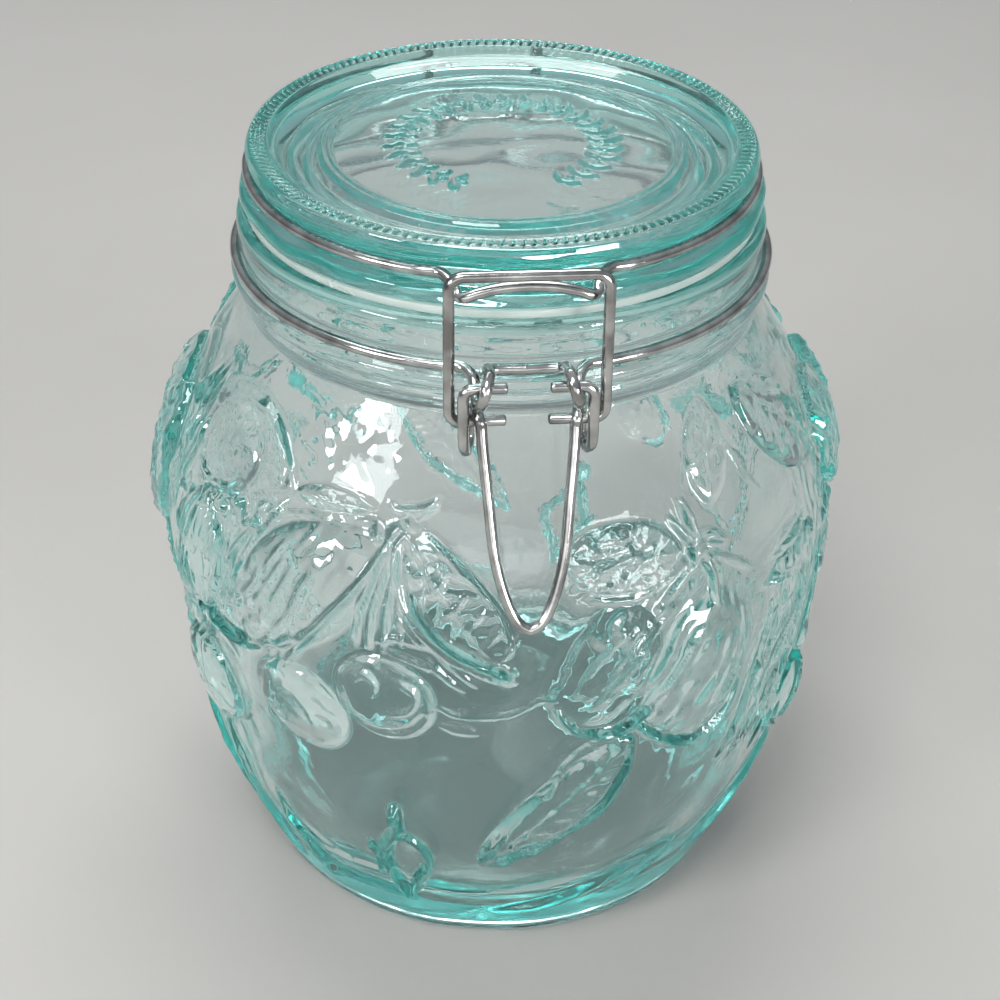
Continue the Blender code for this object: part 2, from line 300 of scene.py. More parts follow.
def fruit(relief, angle, z, half_length, half_width, tilt, thickness, lift=0.9, edge=0.7):
    """A round or long fruit: a dome that stands up from an edge, which has a fine moat if crisp."""
    along, across = relief.turned(angle, z, tilt)
    size = oval(along, across, half_length, half_width)
    outside = (size - 1.0) * half_width
    relief.height -= 0.5 * (0.7 / edge) ** 2 * np.exp(-((outside - 0.6) / 0.6) ** 2)
    dome = np.clip(1.0 - size ** 2, 0.0, 1.0) ** 0.8
    relief.lay(step_in(-outside, edge), lift + (thickness - lift) * dome)


def leaf(relief, angle, z, half_length, half_width, tilt, thickness, veins=5, vein=0.3, blunt=2.2):
    """A pointed leaf with a rounded border, a midrib and side veins."""
    along, across = relief.turned(angle, z, tilt)
    t = along / half_length
    half = half_width * np.clip(1.0 - np.abs(t) ** blunt, 0.0, 1.0) ** 0.8
    inside = half - np.abs(across)
    plate = thickness * (0.65 + 0.35 * step_in(inside - 1.0, 2.0))
    rib = 1.6 * vein * np.exp(-(across / 0.7) ** 2) * step_in(0.9 - np.abs(t), 0.2)
    slope = (along - np.abs(across) * 0.8) * (veins / half_length)
    side = vein * np.cos(np.pi * slope) ** 6 * step_in(inside - 0.6, 1.0)
    relief.lay(step_in(inside, 0.7) * (np.abs(t) < 1.0), plate + rib + side)


def ridge(relief, places, width, height, taper=(0.3, 0.3), painted_light_tint=0.0):
    """A bead along a smooth curve through (angle, height) places; a negative height cuts a groove.

    The last value paints teal on the bead, standing in for light that runs far inside it where the real
    bead is so thick that it looks solid teal.
    """
    middle = sum(a for a, _ in places) / len(places)
    knots = []
    for angle, z in places:
        right = math.radians(angle - middle) * float(relief.radius_at(z))
        knots.append(Vector((right, -float(relief.down_at(z)), 0.0)))
    path = np.array([(p.x, p.y) for p in smooth_path(knots, 0.6)])
    off = wrapped(relief.degrees - middle - relief.turn)
    right = np.radians(off)[None, :] * relief.radius
    up = np.zeros_like(right) - relief.down[:, None]
    low, high = path.min(axis=0) - width, path.max(axis=0) + width
    near = (right > low[0]) & (right < high[0]) & (up > low[1]) & (up < high[1])
    gap, share = nearest(path, np.stack([right[near], up[near]], axis=1))
    start = np.clip(share / max(taper[0], 1e-3), 0.0, 1.0) ** 0.5
    stop = np.clip((1.0 - share) / max(taper[1], 1e-3), 0.0, 1.0) ** 0.5
    reach = np.clip(gap / (0.5 * width * (0.35 + 0.65 * start * stop)), 0.0, 1.0)
    profile = start * stop * (0.5 + 0.5 * np.cos(np.pi * reach ** 1.3))
    relief.height[near] += height * profile
    # Painted teal on the bead, standing in for light running far in the thick glass
    relief.painted_light_tint[near] = np.maximum(relief.painted_light_tint[near], painted_light_tint * step_in(profile - 0.35, 0.4))


def nearest(path, points):
    """Each point's distance to a path, and how far along it the nearest place is, from 0 to 1."""
    gap = np.full(len(points), 1e9)
    share = np.zeros(len(points))
    for i, (a, b) in enumerate(zip(path[:-1], path[1:])):
        run = b - a
        t = np.clip((points - a) @ run / max(run @ run, 1e-9), 0.0, 1.0)
        distance = np.linalg.norm(points - a - t[:, None] * run, axis=1)
        closer = distance < gap
        gap[closer] = distance[closer]
        share[closer] = (i + t[closer]) / (len(path) - 1)
    return gap, share


def hatched(relief, angle, z, half_length, half_width, tilt, spacing, height, wander=1.0, seed=1):
    """Fine uneven ridges along the length of an oval patch, fading out at its edge."""
    along, across = relief.turned(angle, z, tilt)
    size = oval(along, across, half_length, half_width)
    places = np.stack([along.ravel(), across.ravel() * 1.6, np.zeros(along.size)], axis=1)
    drift = waves(places, 16.0, 8, seed).reshape(along.shape)
    fade = waves(places, 9.0, 8, seed + 1).reshape(along.shape)
    lines = 0.5 + 0.5 * np.cos(across * (2 * np.pi / spacing) + wander * drift)
    relief.height += height * step_in(1.0 - size, 0.5) * lines ** 1.5 * np.clip(0.8 + 0.5 * fade, 0.0, 1.4)


def pitted(relief, angle, z, half_length, half_width, tilt, count, size, height, seed=1):
    """Small bumps scattered over an oval patch; a negative height makes pits."""
    random = np.random.default_rng(seed)
    along, across = relief.turned(angle, z, tilt)
    for _ in range(count):
        turn, reach = random.uniform(0.0, 2 * np.pi), math.sqrt(random.uniform(0.0, 1.0))
        a, b = half_length * reach * math.cos(turn), half_width * reach * math.sin(turn)
        wide = size * random.uniform(0.6, 1.4)
        gap = ((along - a) ** 2 + (across - b) ** 2) / wide ** 2
        relief.height += height * random.uniform(0.5, 1.0) * np.exp(-gap)


def make_relief(rows):
    """The whole relief; its front half is repeated behind."""
    relief = Relief(rows)
    for turn in (0.0, HALF_TURN):
        relief.turn = turn
        draw_left(relief)
        draw_cherries(relief)
        draw_mango(relief)
        draw_big_leaf(relief)
        draw_peach(relief)
        draw_veined_leaf(relief)
        draw_right(relief)
        draw_foot_growth(relief)
    return relief


def draw_left(relief):
    """Leaves and a plum towards the left silhouette."""
    leaf(relief, -86, 97, 18, 8.0, 84, 2.2)
    ridge(relief, [(-87, 80), (-88, 92), (-88, 104), (-85, 114)], 6.0, 1.0)
    hatched(relief, -76, 108, 16, 6, 84, 2.6, 0.9, 2.0, 11)
    leaf(relief, -57, 117, 15, 9.0, -16, 1.0, veins=2, vein=0.12)
    fruit(relief, -60, 114.0, 9.5, 9.0, 0, 2.6)
    ridge(relief, [(-68, 114), (-68, 110.3), (-65, 108.2), (-60, 107.3), (-56, 108.3), (-53, 110.7)],
          1.8, 0.8)
    ridge(relief, [(-66, 113), (-65, 110), (-61, 109.6)], 1.6, -0.7)
    ridge(relief, [(-71, 118.3), (-62, 122.3), (-57, 123.0), (-52, 122.4), (-48, 119.6), (-44, 116.4),
                   (-42, 113.0)], 1.6, 0.8)
    pitted(relief, -58, 104.0, 17, 3.0, 16, 60, 0.9, 1.0, 12)
    fruit(relief, -63, 90, 13.5, 9.5, 80, 2.4)
    hatched(relief, -62, 90, 14, 10, 86, 2.0, 0.55, 2.5, 13)
    hatched(relief, -68, 62, 20, 9, 80, 2.8, 0.7, 2.5, 14)


def draw_cherries(relief):
    """Three cherries, each with a crescent cut near its lower left edge."""
    fruit(relief, -64, 57.5, 11.0, 10.5, 0, 2.8)
    ridge(relief, [(-70, 62), (-71, 54), (-68, 49.5), (-62, 49.0), (-57, 52.5)], 2.4, -1.1)
    fruit(relief, -38, 68.5, 11.0, 10.0, -20, 2.8, 0.5, 2.4)
    ridge(relief, [(-45, 73.4), (-46, 66.1), (-44, 60.8), (-40, 59.2), (-35, 60.2)], 2.4, -1.2)
    ridge(relief, [(-41, 72.5), (-38, 74.0), (-35, 70.5), (-34, 66.0)], 1.6, 0.5)
    ridge(relief, [(-36, 69.0), (-32, 70.0), (-31, 66.5)], 1.2, 0.4)
    fruit(relief, -22.3, 78.0, 10.2, 10.2, 0, 3.0, 0.6, 2.0)
    ridge(relief, [(-29, 79.5), (-27.5, 72.6), (-23, 70.2), (-18, 72.2), (-15.6, 76.7)], 2.2, -1.1)
    ridge(relief, [(-27, 81.5), (-25, 84.3), (-23, 83.0), (-23.5, 80)], 1.6, 0.7)
    ridge(relief, [(-20, 84.5), (-17, 81.6), (-18, 77.6), (-21.5, 76.4)], 1.8, 0.8)
    ridge(relief, [(-14, 77.9), (-11, 75.9), (-7, 75.7), (-3, 76.5), (0, 78.6), (2, 80.4), (4.5, 80.6)],
          1.8, 0.8, (0.1, 0.1), 0.4 * PAINTED_THICK_TEAL)
    leaf(relief, -10.5, 72.2, 4.2, 1.5, -12, 0.7, vein=0.0)
    leaf(relief, -7.5, 77.3, 3.6, 1.3, 4, 0.7, vein=0.0)


def draw_mango(relief):
    """A long fruit with a bent left rim, a small leaf on top and stalks at its right."""
    fruit(relief, -38, 97, 21, 11, 43, 3.0, 0.8, 2.0)
    hatched(relief, -41, 93, 17, 8, 60, 3.4, 0.4, 2.5, 21)
    pitted(relief, -46, 92, 10, 6, 60, 40, 0.8, 0.45, 22)
    ridge(relief, [(-43, 112.0), (-46, 106.0), (-49, 98.0), (-51, 89.5), (-54, 81)], 2.0, 1.2)
    ridge(relief, [(-47, 107.0), (-50, 101.3), (-52.5, 96.0), (-54, 88.2), (-57, 80.0)], 1.8, 1.0)
    ridge(relief, [(-44, 109.0), (-38, 110.7), (-32, 112.2), (-25, 112.8)], 1.8, 0.9)
    leaf(relief, -34.5, 114.2, 7.5, 2.2, 3, 1.5, vein=0.2)
    ridge(relief, [(-58, 79.0), (-51, 78.2), (-45, 81.0), (-39, 85.2), (-35, 88.9), (-31, 93.3)], 2.2, 1.1)
    ridge(relief, [(-61, 80.5), (-57, 77.8), (-50, 77.2), (-46, 78.5)], 4.0, 1.8, (0.3, 0.3), PAINTED_THICK_TEAL)
    ridge(relief, [(-24, 116.3), (-22, 115.4), (-18, 116.2), (-15, 118.2)], 1.8, 0.8)
    ridge(relief, [(-15, 117.4), (-17.5, 115.8), (-18.5, 114.4)], 1.3, 0.6)
    pitted(relief, -22, 112.5, 4.5, 3.0, 0, 14, 0.8, 0.9, 23)
    pitted(relief, -34, 123.0, 12, 7, 10, 60, 1.3, 0.13, 24)
    for places in ([(-22, 112), (-24, 107), (-26.5, 102), (-30.5, 95.5), (-35.5, 87), (-41, 77)],
                   [(-22.5, 111), (-24.6, 103), (-26.6, 96), (-27, 89)],
                   [(-22, 111), (-23, 104), (-24.4, 97), (-24.6, 88.5)],
                   [(-21.6, 111), (-21.4, 104), (-22, 97), (-22.4, 88.5)]):
        ridge(relief, places, 1.7, 1.3, (0.1, 0.2))
    for places in ([(-20.5, 101), (-20, 96), (-19.4, 91)], [(-20, 97), (-17.6, 93.5), (-14.5, 91)],
                   [(-24, 91.0), (-20, 92.6), (-16, 91.4)], [(-23, 89.6), (-19, 88.6), (-13.5, 86.6)],
                   [(-15.6, 89.8), (-13, 86), (-9.5, 82)], [(-13.6, 90), (-10.6, 87), (-7.6, 83.5)]):
        ridge(relief, places, 1.6, 1.0)


def draw_big_leaf(relief):
    """The long middle leaf, whose lower left border is thick, with broken veins on its upper side."""
    leaf(relief, -11.0, 99.5, 18, 6.5, -53, 0.9, veins=4, vein=0.25)
    ridge(relief, [(-21, 111.5), (-21, 106.1), (-20, 100.9), (-18, 96.2), (-15, 92.6), (-12, 89.8),
                   (-8, 87.3), (-4, 85.3), (-1.5, 84.9)], 1.8, 1.2, (0.05, 0.05))
    ridge(relief, [(-18.6, 102), (-16.8, 97.8), (-14, 94.2), (-11.5, 92.0), (-8, 90.0), (-5, 88.2),
                   (-2, 86.4)], 3.6, 1.9, (0.3, 0.12), PAINTED_THICK_TEAL)
    ridge(relief, [(-19, 113.7), (-15, 110.9), (-11, 107.3), (-5.6, 101.5), (-3, 94.4), (-1, 86.6)],
          1.3, 0.6)
    for angle, z in ((-16, 103.5), (-13, 100), (-10.4, 97), (-7.6, 94), (-5, 91.2)):
        ridge(relief, [(angle, z - 1.6), (angle + 2.0, z + 0.6), (angle + 3.6, z + 4.0)], 1.3, 0.6)
    pitted(relief, -15, 106, 5, 4, -50, 12, 0.8, 0.6, 31)


def draw_peach(relief):
    """A two-lobed streaked fruit with a thick scalloped lower edge."""
    fruit(relief, 12, 85, 15, 10.0, 62, 2.4, 0.3, 4.0)
    fruit(relief, 29, 78, 19, 12.5, 84, 3.0, 0.4, 4.5)
    hatched(relief, 12, 86, 16, 9, 56, 3.4, 0.35, 1.0, 41)
    hatched(relief, 27, 79, 19, 11, 66, 4.2, 0.4, 1.0, 42)
    ridge(relief, [(4, 79.2), (6, 74.9), (9, 71.2), (13, 69.0), (17, 70.5), (20, 75.0)], 3.0, 2.2,
          (0.3, 0.1), PAINTED_THICK_TEAL)
    ridge(relief, [(18, 70.4), (22, 65.4), (28, 61.2), (33, 62.2), (37, 67.1), (39.5, 73.0)],
          3.0, 2.3, (0.1, 0.3), PAINTED_THICK_TEAL)
    for places in ([(25, 96.5), (19, 91.0), (13.5, 84), (9, 76.5)], [(18, 97.5), (12, 91.4), (7.5, 84.5)],
                   [(29, 92), (24, 83.4), (19.5, 75)], [(22, 96.5), (16, 90.0), (11, 82.5)],
                   [(37, 91), (36, 80), (33, 68.5)]):
        ridge(relief, places, 1.5, 0.8)
    pitted(relief, 18, 94.5, 9, 2.5, 10, 9, 1.3, 0.8, 43)


def draw_veined_leaf(relief):
    """A broad leaf with wandering veins, and the starred stalk that holds it."""
    leaf(relief, 15.8, 107.2, 11.8, 6.4, -4, 1.4, veins=3, vein=0.3, blunt=2.6)
    hatched(relief, 14.5, 107.0, 9.0, 5.0, 28, 2.2, 0.9, 3.5, 51)
    pitted(relief, 14.5, 107.2, 8.5, 4.8, -4, 40, 0.9, 0.6, 52)
    ridge(relief, [(9, 101.1), (14, 99.8), (19, 100.3), (24, 102.4), (29, 104.9)], 1.5, 0.9)
    for places, width, height in (([(29, 105), (28.8, 109), (28, 114.4)], 2.8, 1.7),
                                  ([(29, 105), (27, 108.6), (24.6, 112.2)], 1.9, 1.2),
                                  ([(29, 105), (31.5, 106.8), (35, 104.6)], 3.0, 1.7),
                                  ([(29, 105), (31.2, 100), (31.2, 93)], 2.4, 1.5),
                                  ([(29, 105), (32.2, 101.5), (33.6, 97)], 1.3, 1.0),
                                  ([(29, 105), (27.6, 101.0), (27, 97)], 2.2, 1.2),
                                  ([(29, 104.5), (25.5, 101), (21.5, 97)], 2.0, 1.1),
                                  ([(29, 105), (35, 101), (40, 96.6)], 1.5, 0.9)):
        ridge(relief, places, width, height, (0.02, 0.3))
    fruit(relief, 29, 105, 2.0, 1.8, 0, 1.7)


def draw_right(relief):
    """Low leaves at the upper right, and long uneven streaks down the right side."""
    leaf(relief, 36, 120, 10, 5.0, 74, 0.9, veins=2, vein=0.2)
    leaf(relief, 58, 117, 15, 8.0, -52, 1.3, veins=3, vein=0.25)
    ridge(relief, [(52, 128), (54, 123.7), (57, 121.6), (62, 119.5), (64.5, 115.7), (64.5, 110)], 1.5, 0.8)
    ridge(relief, [(39, 125.6), (41, 120.3), (43, 113.5), (46, 109.5)], 1.0, 0.45)
    ridge(relief, [(29, 115.6), (31, 118.8), (35, 119.9), (39, 119.3)], 1.1, 0.5)
    fruit(relief, 80, 103, 13, 12, 60, 2.8)
    hatched(relief, 80, 103, 13, 10, 60, 3.2, 0.5, 2.5, 64)
    ridge(relief, [(72, 110), (69.5, 103), (71, 96), (76, 92.4), (82, 92)], 2.4, -1.1)
    hatched(relief, 70, 100, 12, 6, 80, 2.4, 0.8, 2.5, 61)
    leaf(relief, 52, 92.5, 10, 3.4, 12, 1.1, veins=3, vein=0.2)
    ridge(relief, [(44, 95.3), (49, 95.9), (53, 96.8), (57.5, 98.4)], 1.6, 1.1)
    ridge(relief, [(42, 90.8), (47, 90.2), (53, 87.3)], 1.4, 0.8)
    leaf(relief, 84, 64, 17, 7, 76, 2.0)
    pitted(relief, 84, 66, 13, 4.5, 76, 40, 0.9, 0.5, 65)
    fruit(relief, 62, 48, 9.5, 9.0, 0, 2.6)
    ridge(relief, [(56, 51), (55.6, 45.5), (59, 41.6), (65, 41.8)], 2.2, -1.0)
    hatched(relief, 50, 68, 24, 9, 70, 3.4, 0.9, 3.0, 62)
    hatched(relief, 70, 70, 24, 8, 82, 3.0, 0.9, 3.0, 63)
    for places in ([(46, 86), (44.5, 73.7), (42, 60.7), (38, 46.7)],
                   [(54, 89), (56, 71.7), (55, 55.7), (50, 39)],
                   [(66, 88), (66, 70), (64, 56), (58, 36)]):
        ridge(relief, places, 2.6, 1.2)


def draw_foot_growth(relief):
    """The long lower leaf, a budding twig, and swells just above the foot."""
    leaf(relief, 5.4, 49, 23, 6.4, 51.5, 1.2, veins=5, vein=0.35)
    ridge(relief, [(17.5, 66.8), (17.6, 59.2), (16, 52.6), (13.8, 47.4), (10, 43.4), (5, 40.0), (-1, 36.4),
                   (-7, 31.0)], 3.0, 1.7, (0.05, 0.1), PAINTED_THICK_TEAL)
    ridge(relief, [(17, 66.4), (12, 67.0), (9, 65.4), (6.2, 60.7), (4.8, 55.4), (2, 51.8), (-1, 46.4),
                   (-3.4, 39.5), (-7, 31.9)], 1.7, 1.0, (0.05, 0.1))
    fruit(relief, -22.2, 45.0, 2.4, 1.5, 80, 1.8, 0.6, 1.2)
    for places, width in (([(-22.5, 47), (-22, 40), (-24.5, 33), (-25, 24), (-22, 14)], 3.8),
                          ([(-28, 33), (-26.6, 30), (-25, 26)], 2.2),
                          ([(-17, 28.5), (-19, 22), (-22, 14)], 3.0),
                          ([(-22, 38), (-19.5, 37.4), (-17, 33.4), (-16.4, 27.0)], 2.0)):
        ridge(relief, places, width, 1.7, (0.1, 0.1), PAINTED_THICK_TEAL)
    for places in ([(-62, 50), (-61, 36), (-59, 20), (-50, 9)], [(-72, 50), (-69, 32), (-62, 14)],
                   [(-80, 46), (-77, 30), (-72, 12)], [(-50, 34), (-47, 22), (-38, 12)]):
        ridge(relief, places, 4.6, 1.3, (0.3, 0.3), 0.6 * PAINTED_THICK_TEAL)
    ridge(relief, [(-48, 12.5), (-38, 14), (-28, 14.5), (-20, 12)], 4.5, 1.2)
    ridge(relief, [(-6, 10.5), (6, 13), (16, 18), (26, 23), (34, 24)], 6.0, 1.7,
          (0.3, 0.3), 0.6 * PAINTED_THICK_TEAL)
    ridge(relief, [(12, 11), (24, 14), (34, 20)], 1.6, -0.9)
    ridge(relief, [(40, 14), (52, 20), (62, 30), (72, 34)], 5.0, 1.4)


def painted_teal_of_flanks(heights, rows):
    """Teal painted on the relief's steep flanks, standing in for light that runs furthest in the glass
    there.
    """
    down = np.gradient(heights, RELIEF_ROW, axis=0)
    step = 2 * np.pi * np.array(rows)[:, 0][:, None] / RELIEF_COUNT
    across = (np.roll(heights, -1, axis=1) - np.roll(heights, 1, axis=1)) / (2 * step)
    return PAINTED_FLANK_TEAL * step_in(np.hypot(down, across) - STEEP, STEEP_FADE)


# The glass pieces

def body_rows(spacing):
    """The body's outer outline from the shoulder down to the foot, as (radius, height)."""
    down = [Vector((r, z, 0.0)) for z, r in reversed(BODY_OUTLINE)]
    return [(p.x, p.y) for p in smooth_path(down, spacing)]


def pushed_out(rows, heights):
    """Rings of the body with each point moved out along the outline's own normal."""
    rows = np.array(rows)
    run = np.gradient(rows, axis=0)
    run /= np.linalg.norm(run, axis=1)[:, None]
    rings = []
    for (radius, z), (run_r, run_z), height in zip(rows, run, heights):
        rings.append(ring(RELIEF_COUNT, radius - run_z * height, z + run_r * height))
    return rings


def make_jar():
    """The jar from the middle of its floor, up the inside, over the lip and down the outside."""
    coarse = body_rows(5.0)
    fine = body_rows(RELIEF_ROW)
    relief = make_relief(fine)
    grid = np.concatenate([ring(RELIEF_COUNT, r, z) for r, z in fine])
    shape = relief.height.shape
    # Broad swells all over, and finer ones only where the relief is raised
    worked = np.clip(relief.height / 1.2, 0.0, 1.0)
    heights = relief.height + 0.08 * waves(grid, 16.0, 14, 3).reshape(shape)
    heights += worked * (0.06 * waves(grid, 6.0, 14, 4) + 0.035 * waves(grid, 2.8, 14, 9)).reshape(shape)
    floor = [(0.3, 7.0), (38.0, 6.4), (47.5, 8.6), (53.0, 12.5)]
    inside = [(r - WALL, z) for r, z in reversed(coarse[2:-3:2])]
    neck = [(46.1, 134.5), (45.5, 138.5), (45.5, 148.9), (46.4, 150.2), (47.4, 150.6)]
    lip = [(51.0, 150.6), (52.1, 149.9), (52.4, 148.6), (52.2, 147.0), (52.2, 144.2)]
    groove = [(51.5, 143.2), (51.5, 141.3), (52.6, 140.5), (53.7, 140.1), (54.0, 138.8), (53.7, 137.4)]
    rings = [(52.0, 136.5), (52.9, 135.2), (52.2, 133.7), fine[0]]
    foot = [fine[-1], (54.6, 4.2), (54.5, 2.0), (53.2, 0.0), (48.0, 0.0), (45.5, 1.4), (0.3, 2.2)]
    bore = evened(eased(floor + inside + neck[:1], 9.0, 6), 2.4)
    mouth = evened(eased(neck + lip + groove + rings, 0.8, 4), 0.8)
    base = evened(eased(foot, 1.0, 5), 2.0)
    parts = [ring(1, 0.0, 7.0)]
    parts += turned_rings(bore[:-1], PLAIN_COUNT, 0.12, 24.0, 5, 0.10)
    # Painted teal, standing in for light that runs far in the glass: none on the bore, some on the lip's
    # top, on the relief's beads and steep flanks, and on the foot
    painted_light_tints = [0.0] * len(parts)
    parts += turned_rings(mouth[:-1], PLAIN_COUNT, 0.05, 30.0, 6)
    painted_light_tints += [PAINTED_LIP_TEAL * float(step_in(z - 148.6, 0.8)) for _, z in mouth[:-1]]
    parts += pushed_out(fine, heights)
    painted_light_tints += list(np.maximum(relief.painted_light_tint, painted_teal_of_flanks(heights, fine)))
    parts += turned_rings(base[1:], PLAIN_COUNT, 0.08, 20.0, 7)
    parts.append(ring(1, 0.0, 2.2))
    painted_light_tints += [PAINTED_FOOT_TEAL] * len(base)
    return mesh_of_rings("jar_body_glass", parts, painted_light_tints=painted_light_tints)


def wreath_height(points):
    """Thickness of the wreath of small leaves and berries on the lid's centre."""
    radius = np.hypot(points[:, 0], points[:, 1])
    degrees = np.degrees(np.arctan2(points[:, 0], -points[:, 1]))
    height = np.zeros(len(points))
    for i in range(WREATH_LEAVES):
        angle = WREATH_GAP + (360.0 - 2 * WREATH_GAP) * (i + 0.5) / WREATH_LEAVES
        off = wrapped(degrees - angle)
        right, out = np.radians(off) * WREATH_RADIUS, radius - WREATH_RADIUS
        for side, lean, half_length in ((1.4, 62.0, 2.6), (-1.6, 112.0, 2.0)):
            a = math.radians(lean)
            along = (right * math.cos(a) + (out - side) * math.sin(a)) / half_length
            across = (out - side) * math.cos(a) - right * math.sin(a)
            half = 0.95 * np.clip(1.0 - along ** 2, 0.0, 1.0)
            form = step_in(half - np.abs(across), 0.5) * (0.55 + 0.25 * np.exp(-(across / 0.3) ** 2))
            height = np.maximum(height, form * (np.abs(along) < 1.0))
        berry = 1.0 - ((right - 1.5) ** 2 + (out - 0.2) ** 2) / 0.8 ** 2
        height = np.maximum(height, 0.6 * np.sqrt(np.clip(berry, 0.0, 1.0)))
    return height


def notches(points):
    """The milled notches on the lid's rim, slightly slanted, from 0 between them to 1 inside one."""
    radius = np.hypot(points[:, 0], points[:, 1])
    turn = np.arctan2(points[:, 0], -points[:, 1]) + TOOTH_SLANT * (radius - MILLED_INNER)
    notch = np.clip(np.cos(turn * TEETH) * NOTCH_FLATNESS - NOTCH_NARROWING, 0.0, 1.0)
    band = step_in(radius - MILLED_INNER, NOTCH_FADE) * step_in(MILLED_OUTER - radius, NOTCH_FADE)
    return notch * band


def lid_ring(radius, height):
    """One ring of the lid's upper side and its painted light, fine where the wreath or the teeth are:
    painted teal on the outer rim and the wreath's flanks, and near black painted shade in the milled
    notches.
    """
    points = ring(PLAIN_COUNT, radius, height)
    # Painted teal on the rim's outer edge, standing in for light running along the lid's edge
    painted_light_tint = PAINTED_RIM_TEAL * float(step_in(radius - MILLED_OUTER, 0.6))
    if WREATH_INNER < radius < WREATH_OUTER and height > 161.0:
        points = ring(PLATE_COUNT, radius, height)
        form = wreath_height(points)
        points[:, 2] += form
        # Painted teal on the flanks of the wreath's leaves and berries, standing in for light running far
        # in the glass
        painted_light_tint = PAINTED_WREATH_TEAL * step_in(form - 0.25, 0.3) * step_in(0.65 - form, 0.2)
    elif MILLED_INNER - 0.4 < radius and height > 163.0:
        points = ring(TEETH * TOOTH_POINTS, radius, height)
        notch = notches(points)
        points[:, 2] -= TOOTH_DEPTH * notch
        # Near black painted shade in the milled notches
        painted_light_tint = np.maximum(painted_light_tint, PAINTED_NOTCH_SHADE * notch)
    return points, painted_light_tint


def make_lid():
    """The lid: flat centre, cove, raised milled rim, wire groove, flange and the plug below it."""
    centre = [(0.3, 162.1), (WREATH_INNER, 162.1), (WREATH_OUTER, 162.1), (33.2, 162.1)]
    beads = [(33.2, 162.1), (33.9, 162.5), (34.5, 162.0), (35.2, 162.3), (36.0, 161.4), (38.0, 160.9)]
    cove = [(38.0, 160.9), (41.0, 161.6), (44.0, 163.0), (45.1, 164.0), (45.6, 164.4), (46.2, 164.1)]
    rim = [(46.2, 164.1), (48.4, 164.7), (49.4, 164.2), (50.0, 162.6)]
    groove = [(50.0, 162.6), (49.8, 161.2), (48.6, 160.4), (48.2, 159.4), (48.2, 158.4), (48.9, 157.4)]
    flange = [(50.6, 156.8), (51.5, 156.1), (51.7, 154.8), (51.4, 153.5), (50.6, 153.0)]
    plug = [(45.3, 153.0), (44.5, 152.3), (44.5, 150.4), (43.9, 148.9), (42.9, 148.3),
            (41.0, 148.3), (39.7, 149.1), (38.6, 151.2), (38.2, 155.2), (36.5, 156.6), (0.3, 156.9)]
    upper = evened(eased(centre, 0.5, 2), 0.36) + evened(eased(beads, 0.35, 4), 0.25)[1:]
    upper += evened(eased(cove, 0.5, 5), 0.4)[1:] + evened(eased(rim, 0.6, 5), 0.28)[1:]
    lower = evened(eased(groove + flange + plug, 0.8, 4), 0.9)[1:]
    parts, painted_light_tints = [ring(1, 0.0, 162.1)], [0.0]
    for radius, height in upper:
        points, painted_light_tint = lid_ring(radius, height)
        points[:, 2] += 0.04 * waves(points, 17.0, 9, 21) * (radius < MILLED_INNER)
        parts.append(points)
        painted_light_tints.append(painted_light_tint)
    parts += turned_rings(lower, PLAIN_COUNT, 0.14, 17.0, 8, 0.05)
    # Painted teal on the flange's outer part, standing in for light running far in the glass
    painted_light_tints += [PAINTED_FLANGE_TEAL * float(step_in(r - 48.0, 0.8)) for r, _ in lower]
    parts.append(ring(1, 0.0, 156.9))
    painted_light_tints.append(0.0)
    return mesh_of_rings("lid_glass", parts, painted_light_tints=painted_light_tints)


def make_gasket():
    """The soft ring between the lid's flange and the jar's lip."""
    outline = [(48.2, 152.7), (50.5, 152.7), (50.5, 150.9), (45.9, 150.9), (45.9, 152.7), (48.2, 152.7)]
    rounded = evened(eased(outline, 0.4, 4), 1.2)
    return mesh_of_rings("gasket_ring", turned_rings(rounded[:-1], PLAIN_COUNT), closed=True)


# The wires, each worked out as its +X half from front to back and mirrored

def eye_route():
    """The neck wire from its front middle, out and around one eye, and back to the groove."""
    loop = arc_yz(EYE_INSIDE_X, EYE_OUTSIDE_X, LEVER_PIVOT, EYE_RADIUS, 90.0, 270.0, 8)
    groove = [around(NECK_WIRE_RING, degrees, NECK_WIRE_Z) for degrees in (0.0, 5.0, 12.5)]
    lead_in = vectors((6.5, -53.4, 142.5), (EYE_INSIDE_X, -55.2, 143.7))
    lead_out = vectors((EYE_OUTSIDE_X + 0.1, -56.4, 139.9), (EYE_OUTSIDE_X + 0.4, -54.3, 141.6))
    return groove[:2] + lead_in + loop + lead_out + groove[2:]


def neck_wire_path():
    """A closed ring in the jar's groove with two eyes in front and two behind."""
    front = eye_route()
    back = list(reversed(flipped(front, 1)))
    sides = [around(NECK_WIRE_RING, 12.5 + 5.0 * i, NECK_WIRE_Z) for i in range(1, 31)]
    right = smooth_path(front + sides + back, TUBE_STEP)
    left = list(reversed(flipped(right, 0)))
    return right + left[1:-1]


def lid_wire_path():
    """The ring in the lid's groove: a catch in front, and two legs with pins behind."""
    catch = vectors((0.0, -53.9, 159.3), (4.5, -53.9, 159.0), (8.5, -54.0, 158.2),
                    (11.0, -53.9, 157.3), (12.2, -52.9, 157.2), (12.9, -50.9, 158.1))
    hoop = [around(LID_WIRE_RING, 17.5 + 5.0 * i, LID_WIRE_Z) for i in range(30)]
    y, z = LID_PIVOT
    leg = vectors((12.5, 50.3, LID_WIRE_Z), (12.0, 53.4, 158.5), (12.0, 56.7, 156.8),
                  (12.0, y - 0.5, 153.6), (12.0, y, 149.0), (12.0, y, z + 2.2))
    pin = vectors((11.5, y, z + 0.6), (9.9, y, z), (4.5, y, z))
    right = smooth_path(catch + hoop + leg + pin, TUBE_STEP)
    return list(reversed(flipped(right, 0))) + right[1:]


